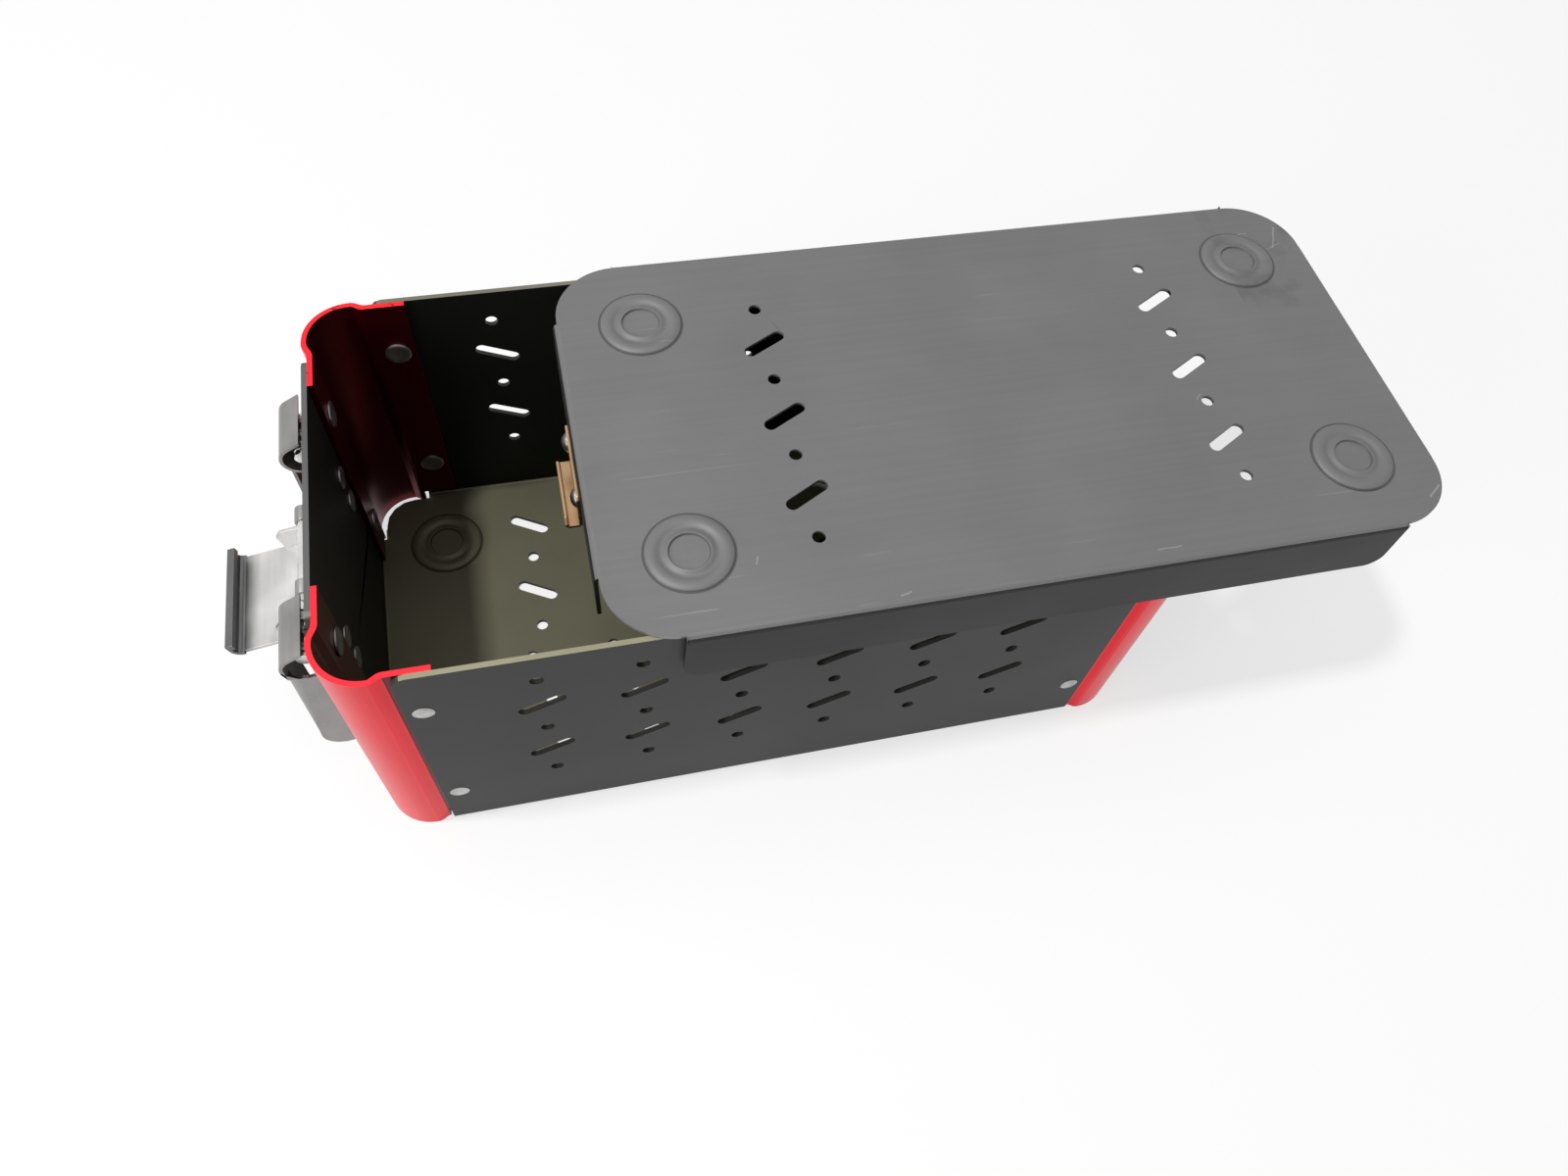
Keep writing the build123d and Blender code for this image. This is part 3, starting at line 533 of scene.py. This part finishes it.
def set_rivets(node, name, finish, middle, dome_height):
    """Dome and set head on every shank of the node, each as high and wide as its solid."""
    mesh = bpy.data.meshes.new(name)
    piece = bpy.data.objects.new(name, mesh)
    bpy.context.scene.collection.objects.link(piece)
    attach(piece, frame["nodes"][node]["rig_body"])
    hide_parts(node)
    bm = bmesh.new()
    for low, high in solid_boxes(node):
        size = high - low
        along = min(range(3), key=lambda i: size[i])
        centre = (low + high) / 2
        sign = 1.0 if centre[along] > middle[along] else -1.0
        axis = Vector([sign if i == along else 0.0 for i in range(3)])
        length = size[along]
        tip = centre + axis * length / 2
        head = size[(along + 1) % 3] / 2
        ball = (dome_radius ** 2 + dome_height ** 2) / (2 * dome_height)
        rise = dome_height - 0.00012
        profile = [(0.0, 0.0)]
        for step in range(1, 8):
            radius = dome_radius * math.sin(math.pi / 2 * step / 7)
            drop = ball - math.sqrt(ball ** 2 - radius ** 2)
            profile.append((-drop * rise / dome_height, radius))
        profile += [
            (-dome_height, dome_radius), (-dome_height, shank_radius),
            (-length + 0.0009, shank_radius), (-length + 0.0009, head - 0.0003),
            (-length + 0.0007, head - 0.00008), (-length + 0.0003, head - 0.0001),
            (-length + 0.0001, head - 0.0004), (-length, head - 0.0008),
            (-length + 0.00008, head - 0.0012), (-length + 0.0002, 0.0013),
            (-length + 0.0001, 0.0004), (-length + 0.0001, 0.0),
        ]
        turn(bm, tip, axis, profile)
    bmesh.ops.remove_doubles(bm, verts=bm.verts, dist=weld)
    return end_piece(piece, bm, finish, 40)


rivet_finish = rivet_skin()
set_rivets("post_rivets", "set_post_rivets", rivet_finish, (0, 0, 0), low_dome)
for side in ("left", "right"):
    name = f"set_base_rivets_{side}"
    set_rivets(f"base_rivets_{side}", name, rivet_finish, (0, 0, 0), full_dome)
set_rivets("keeper_rivets", "set_keeper_rivets", rivet_finish, (lid_x, 0, 0), full_dome)

# End fittings: pressed stainless sheet with a satin skin, duller in patches from handling.
# Base plates and handles share one finish; clasp levers are brighter, pins and bars the brightest.
handle_axis = 0.134
handle_axis_z = 0.078
curl_axis = 0.1346
curl_axis_z = 0.0779
grip_axis = 0.1349
grip_axis_z = 0.0342
lever_axis = 0.1343
lever_axis_z = 0.0555
bar_axis = 0.1368
bar_axis_z = 0.0674
arm_top = 0.0728
arm_corners = ((0.1408, 0.0463, 0.0038), (0.1398, 0.0453, 0.0028))


def satin_steel(name, light, dark, rough):
    finish = Finish(name, metallic=1.0, roughness=rough)
    brushed = finish.noise(finish.stretch(700, 60, 700), 1.0, 3.0)
    patch = finish.noise(finish.place, 70.0, 3.0)
    tone = finish.colour(finish.range(patch, 0.3, 0.7), dark, light)
    glint = tuple(min(1.0, c * 1.15) for c in light)
    tone = finish.colour(finish.range(brushed, 0.4, 0.8) * 0.25, tone, glint)
    finish.set("Base Color", tone)
    worn = finish.range(patch, 0.2, 0.8, rough - 0.07, rough + 0.1)
    finish.set("Roughness", worn + brushed * 0.08)
    finish.bump(brushed, 0.00004, 0.3)
    return finish


def roll_arms(bm):
    """Round the corner of each arm, outer and inner face, given as x, y and bend radius."""
    everything = list(bm.verts) + list(bm.edges) + list(bm.faces)
    bmesh.ops.bisect_plane(
        bm, geom=everything, dist=1e-7, plane_co=(0, 0, arm_top), plane_no=(0, 0, 1),
        clear_inner=False, clear_outer=False,
    )
    for face_x, face_y, radius in arm_corners:
        corner = []
        for edge in bm.edges:
            ends = [vert.co for vert in edge.verts]
            on_x = all(abs(abs(co.x) - face_x) < 5e-5 for co in ends)
            on_y = all(abs(abs(co.y) - face_y) < 5e-5 for co in ends)
            low_enough = max(co.z for co in ends) < arm_top + 1e-5
            if on_x and on_y and low_enough and edge.calc_length() > 0.0002:
                corner.append(edge)
        bmesh.ops.bevel(
            bm, geom=corner, offset=radius, offset_type="OFFSET", segments=6, profile=0.5,
            affect="EDGES", clamp_overlap=False, material=-1,
        )


steel = satin_steel("satin_stainless", (0.315, 0.311, 0.304), (0.228, 0.225, 0.220), 0.34)


def lever_skin():
    """Bright plate whose rolled lip and the bend into it are painted dark, as painted shade."""
    finish = satin_steel("polished_stainless", (0.56, 0.555, 0.55), (0.47, 0.465, 0.46), 0.30)
    plate = Socket(finish, finish.shader.inputs["Base Color"].links[0].from_socket)
    x = finish.split(finish.place)[0]
    bend = finish.range(abs(x), 0.1560, 0.1602)
    # Painted shade along the concave bend and on the rolled lip.
    tone = finish.colour(bend * 0.7, plate, (0.13, 0.13, 0.13))
    rolled = finish.range(abs(x), 0.1602, 0.1608)
    tone = finish.colour(rolled * 0.85, tone, (0.12, 0.12, 0.12))
    finish.set("Base Color", tone)
    return finish


lever_steel = lever_skin()
bright = satin_steel("drawn_stainless", (0.72, 0.71, 0.70), (0.55, 0.54, 0.53), 0.2)
for side, sx in (("left", -1), ("right", 1)):
    plate, bm = begin_piece(f"latch_base_{side}", f"pressed_latch_base_{side}")
    round_about(bm, (sx * handle_axis, 0, handle_axis_z), (0, 1, 0), 3)
    round_about(bm, (sx * lever_axis, 0, lever_axis_z), (0, 1, 0), 3)
    round_about(bm, (sx * bar_axis, 0, bar_axis_z), (0, 1, 0), 3)
    ease_edges(bm, 0.00015)
    end_piece(plate, bm, steel)
    plate, bm = begin_piece(f"handle_{side}", f"pressed_handle_{side}")
    round_about(bm, (sx * curl_axis, 0, curl_axis_z), (0, 1, 0), 3, [0.0062, 0.0052])
    round_about(bm, (sx * grip_axis, 0, grip_axis_z), (0, 1, 0), 3, [0.0059, 0.0049])
    roll_arms(bm)
    ease_edges(bm, 0.00015)
    end_piece(plate, bm, steel)
    plate, bm = begin_piece(f"clasp_lever_{side}", f"pressed_clasp_lever_{side}")
    ease_edges(bm, 0.00018)
    end_piece(plate, bm, lever_steel)
    for node, x, z in (
        ("handle_pins", handle_axis, handle_axis_z), ("clasp_pin", lever_axis, lever_axis_z),
        ("latch_bar", bar_axis, bar_axis_z),
    ):
        rod, bm = begin_piece(f"{node}_{side}", f"drawn_{node}_{side}")
        round_about(bm, (sx * x, 0, z), (0, 1, 0), 3)
        ease_edges(bm, 0.00012, 2, 40)
        end_piece(rod, bm, bright)

# Torsion springs: four turns of 0.86 mm wire on each handle pin, lying almost coil to coil.
# One leg bears down on the base plate and a short tail stands up inside the handle's curl.
wire = 0.00043
turn_radius = 0.00217
pitch = 0.00088
spring_turns = 4
steps = 16 * spring_turns


def draw_out(bm, ring, rise):
    """Run the wire on from an open ring, straight up or down, and cap its end."""
    run = bmesh.ops.extrude_edge_only(bm, edges=ring)["geom"]
    tip = [item for item in run if isinstance(item, bmesh.types.BMVert)]
    bmesh.ops.translate(bm, verts=tip, vec=(0, 0, rise))
    edges = [item for item in run if isinstance(item, bmesh.types.BMEdge)]
    bmesh.ops.contextual_create(bm, geom=[edge for edge in edges if len(edge.link_faces) == 1])


for side, sx in (("left", -1), ("right", 1)):
    mesh = bpy.data.meshes.new(f"wound_springs_{side}")
    springs = bpy.data.objects.new(f"wound_springs_{side}", mesh)
    bpy.context.scene.collection.objects.link(springs)
    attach(springs, frame["nodes"][f"handle_springs_{side}"]["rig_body"])
    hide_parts(f"handle_springs_{side}")
    bm = bmesh.new()
    for low, high in solid_boxes(f"handle_springs_{side}"):
        middle = (low.y + high.y) / 2
        near = middle - spring_turns * pitch / 2 + wire
        start = Vector((sx * handle_axis - sx * turn_radius, near, handle_axis_z))
        made = bmesh.ops.create_circle(
            bm, cap_ends=False, segments=8, radius=wire, matrix=Matrix.Translation(start)
        )["verts"]
        ring = list(dict.fromkeys(edge for vert in made for edge in vert.link_edges))
        draw_out(bm, ring, high.z - handle_axis_z)
        coil = bmesh.ops.spin(
            bm, geom=ring, cent=(sx * handle_axis, 0, handle_axis_z), axis=(0, -sx, 0),
            dvec=(0, (pitch * spring_turns - 2 * wire) / steps, 0),
            angle=2 * math.pi * spring_turns, steps=steps, use_merge=False, use_duplicate=False,
        )["geom_last"]
        ring = [item for item in coil if isinstance(item, bmesh.types.BMEdge)]
        draw_out(bm, ring, low.z - handle_axis_z)
    end_piece(springs, bm, bright)

# Lid: 1.2 mm sheet with four turned-down flanges, lying on the walls and pushed along.
# Its broad top shows the rolled grain, a few rubs near the far corner, and pressed circles.
lid_y = 0.0009
lid_top = 0.1027
lid_spacing = (0.1036, 0.0431)


def scratch(finish, x, y, start, angle, length, width):
    """Mask of one hairline scratch on a level face, from its middle, angle, length and width."""
    cos = math.cos(math.radians(angle))
    sin = math.sin(math.radians(angle))
    along = abs((x - start[0]) * cos + (y - start[1]) * sin)
    aside = (y - start[1]) * cos - (x - start[0]) * sin
    wander = finish.noise(finish.place, 240.0, 1.0) * 0.0012 - 0.0006
    return (along < length / 2) * (abs(aside + wander) < width / 2)


def lid_skin():
    finish, tone, cloud = anodised_grey("hard_anodised_lid", (0.142, 0.142, 0.143))
    x, y, z = finish.split(finish.place)
    nz = finish.split(finish.normal)[2]
    top = (nz > 0.5) * (z > lid_top - 0.0003)
    rubs = (
        ((0.1995, 0.0530), 62, 0.0110, 0.0006), ((0.1975, 0.0490), 20, 0.0060, 0.0005),
        ((0.1880, 0.0560), 8, 0.0050, 0.0004), ((0.2010, -0.0585), 35, 0.0065, 0.0007),
        ((0.1100, -0.0640), 3, 0.0080, 0.0004), ((0.0300, -0.0655), 12, 0.0035, 0.0005),
        ((-0.0080, -0.0480), 70, 0.0028, 0.0005), ((0.1420, -0.0120), 40, 0.0030, 0.0004),
    )
    for start, angle, length, width in rubs:
        mask = scratch(finish, x, y, start, angle, length, width)
        tone = finish.colour(mask * top * 0.3, tone, (0.42, 0.42, 0.41))
    # The top is darker in noisy patches towards the far right corner.
    far_corner_darkening = finish.range(finish.noise(finish.place, 90.0, 3.0), 0.5, 0.75)
    far_corner_darkening = far_corner_darkening * (x > 0.175) * (y > 0.02) * top
    tone = finish.colour(far_corner_darkening * 0.5, tone, (0.070, 0.070, 0.070))
    lines = crease_shade_lines(finish, x, y, (lid_x, lid_y), lid_spacing)
    # Painted shade in the creases of the lid's pressed circles.
    tone = finish.colour(lines * top * 0.65, tone, (0.030, 0.030, 0.030))
    flange = (z < lid_top - 0.0008) * (abs(nz) < 0.9)
    # Painted shade: the flanges are near-black as the shaded sides of the lid's sheet.
    tone = finish.colour(flange * 0.95, tone, (0.018, 0.018, 0.018))
    sheared = (abs(nz) < 0.6) * (z > lid_top - 0.00115) * (z < lid_top - 0.00005)
    corner = (abs(x - lid_x) > 0.1105) * (abs(y - lid_y) > 0.0478)
    tone = finish.colour(sheared * corner * 0.7, tone, (0.30, 0.30, 0.29))
    lower = (z < lid_top - 0.0205) * (nz < -0.6)
    tone = finish.colour(lower * 0.7, tone, (0.30, 0.30, 0.28))
    finish.set("Base Color", tone)
    return finish


lid_circles = []
for sx in (-1, 1):
    for sy in (-1, 1):
        lid_circles.append((lid_x + sx * lid_spacing[0], lid_y + sy * lid_spacing[1]))
lid_finish = lid_skin()
lid, bm = begin_piece("lid_panel", "folded_lid_panel")
open_circles(bm, lid_circles, 5)
round_rims(bm, 3)
ease_edges(bm, 0.00018)
press_circles(bm, lid_circles)
end_piece(lid, bm, lid_finish)

# Keepers: small pressed stainless hooks, riveted to the lid's end flanges.
# The clasp levers pull on them, and their skin has a warm, brassy tone.
keeper_steel = satin_steel("warm_stainless", (0.43, 0.285, 0.165), (0.28, 0.17, 0.09), 0.25)
for side in ("left", "right"):
    hook, bm = begin_piece(f"keeper_{side}", f"pressed_keeper_{side}")
    ease_edges(bm, 0.00018)
    end_piece(hook, bm, keeper_steel)

# Studio: a white table and one hard-edged lamp high on the left, with soft fill around.
# The table keeps the case's shadow; both it and the room read white to the eye and in metal,
# but not in the dark under the case.
foot_x = 0.1248
foot_y = 0.0640
table_glow = 0.68
bm = bmesh.new()
bmesh.ops.create_grid(bm, x_segments=1, y_segments=1, size=3.0)
table_mesh = bpy.data.meshes.new("studio_table")
bm.to_mesh(table_mesh)
bm.free()
table = bpy.data.objects.new("studio_table", table_mesh)
bpy.context.scene.collection.objects.link(table)


def seen_directly(tree):
    """One where the ray comes from the eye, or by a mirror or through glass."""
    rays = tree.nodes.new("ShaderNodeLightPath")
    total = None
    for name in ("Is Camera Ray", "Is Glossy Ray", "Is Transmission Ray"):
        if total is None:
            total = rays.outputs[name]
            continue
        both = tree.nodes.new("ShaderNodeMath")
        both.operation = "MAXIMUM"
        tree.links.new(total, both.inputs[0])
        tree.links.new(rays.outputs[name], both.inputs[1])
        total = both.outputs[0]
    return total


paper = Finish("white_table", roughness=0.35)
paper.shader.inputs["Base Color"].default_value = (0.80, 0.80, 0.80, 1.0)
glow = paper.node("ShaderNodeEmission", {}, Color=(1.0, 1.0, 1.0, 1.0), Strength=1.0)
seen = Socket(paper, seen_directly(paper.tree))
tx, ty, _ = paper.split(paper.place)
beneath = (abs(tx) < foot_x) * (abs(ty) < foot_y)
corners = (abs(tx) > 0.1140) * (abs(ty) > 0.0520)
open_end = (tx > -0.1050) * (tx < -0.0520)
seen = seen * (1 - beneath * (1 - corners) * (1 - open_end))
surface = Socket(paper, paper.shader.outputs[0])
mix = paper.node("ShaderNodeMixShader", {}, seen * table_glow, surface, glow)
paper.tree.links.new(mix.output, paper.tree.nodes["Material Output"].inputs["Surface"])
table_mesh.materials.append(paper.material)

world = bpy.data.worlds.new("soft_room")
bpy.context.scene.world = world
world.use_nodes = True
room = world.node_tree
back = room.nodes["Background"]
back.inputs["Color"].default_value = (1.0, 1.0, 1.0, 1.0)
level = room.nodes.new("ShaderNodeMapRange")
room.links.new(seen_directly(room), level.inputs[0])
level.inputs[3].default_value = 0.30
level.inputs[4].default_value = 1.0
room.links.new(level.outputs[0], back.inputs["Strength"])


def lamp(name, place, width, height, watts):
    """A rectangular lamp aimed at the middle of the tray."""
    data = bpy.data.lights.new(name, "AREA")
    data.shape = "RECTANGLE"
    data.size = width
    data.size_y = height
    data.energy = watts
    light = bpy.data.objects.new(name, data)
    light.location = place
    aim = Vector((0.0, 0.0, 0.05)) - Vector(place)
    light.rotation_euler = aim.to_track_quat("-Z", "Y").to_euler()
    bpy.context.scene.collection.objects.link(light)


lamp("high_left_lamp", (-0.98, 0.0, 2.6), 0.22, 0.22, 52.0)
lamp("ceiling_softbox", (0.1, 0.25, 1.1), 1.2, 0.8, 2.0)
lamp("left_softbox", (-0.9, -0.5, 0.5), 0.5, 0.5, 5.0)

# Camera: solved from the photograph, with the focal length in pixels of its width.
# It stands close, above the near left corner, and looks down along the case.
sensor_width = 36.0
focal_pixels = 1149.79
photo_width = 1600.0
camera_data = bpy.data.cameras.new("photo_camera")
camera_data.sensor_width = sensor_width
camera_data.lens = sensor_width * focal_pixels / photo_width
camera_data.clip_start = 0.01
camera = bpy.data.objects.new("photo_camera", camera_data)
camera.matrix_world = Matrix((
    (0.972721, 0.148249, -0.178429, -0.057697),
    (-0.218315, 0.845094, -0.488011, -0.207922),
    (0.078442, 0.513652, 0.854405, 0.365392),
    (0.000000, 0.000000, 0.000000, 1.000000),
))
bpy.context.scene.collection.objects.link(camera)
bpy.context.scene.camera = camera
bpy.context.scene.view_settings.view_transform = "Standard"

low, high = cad_box
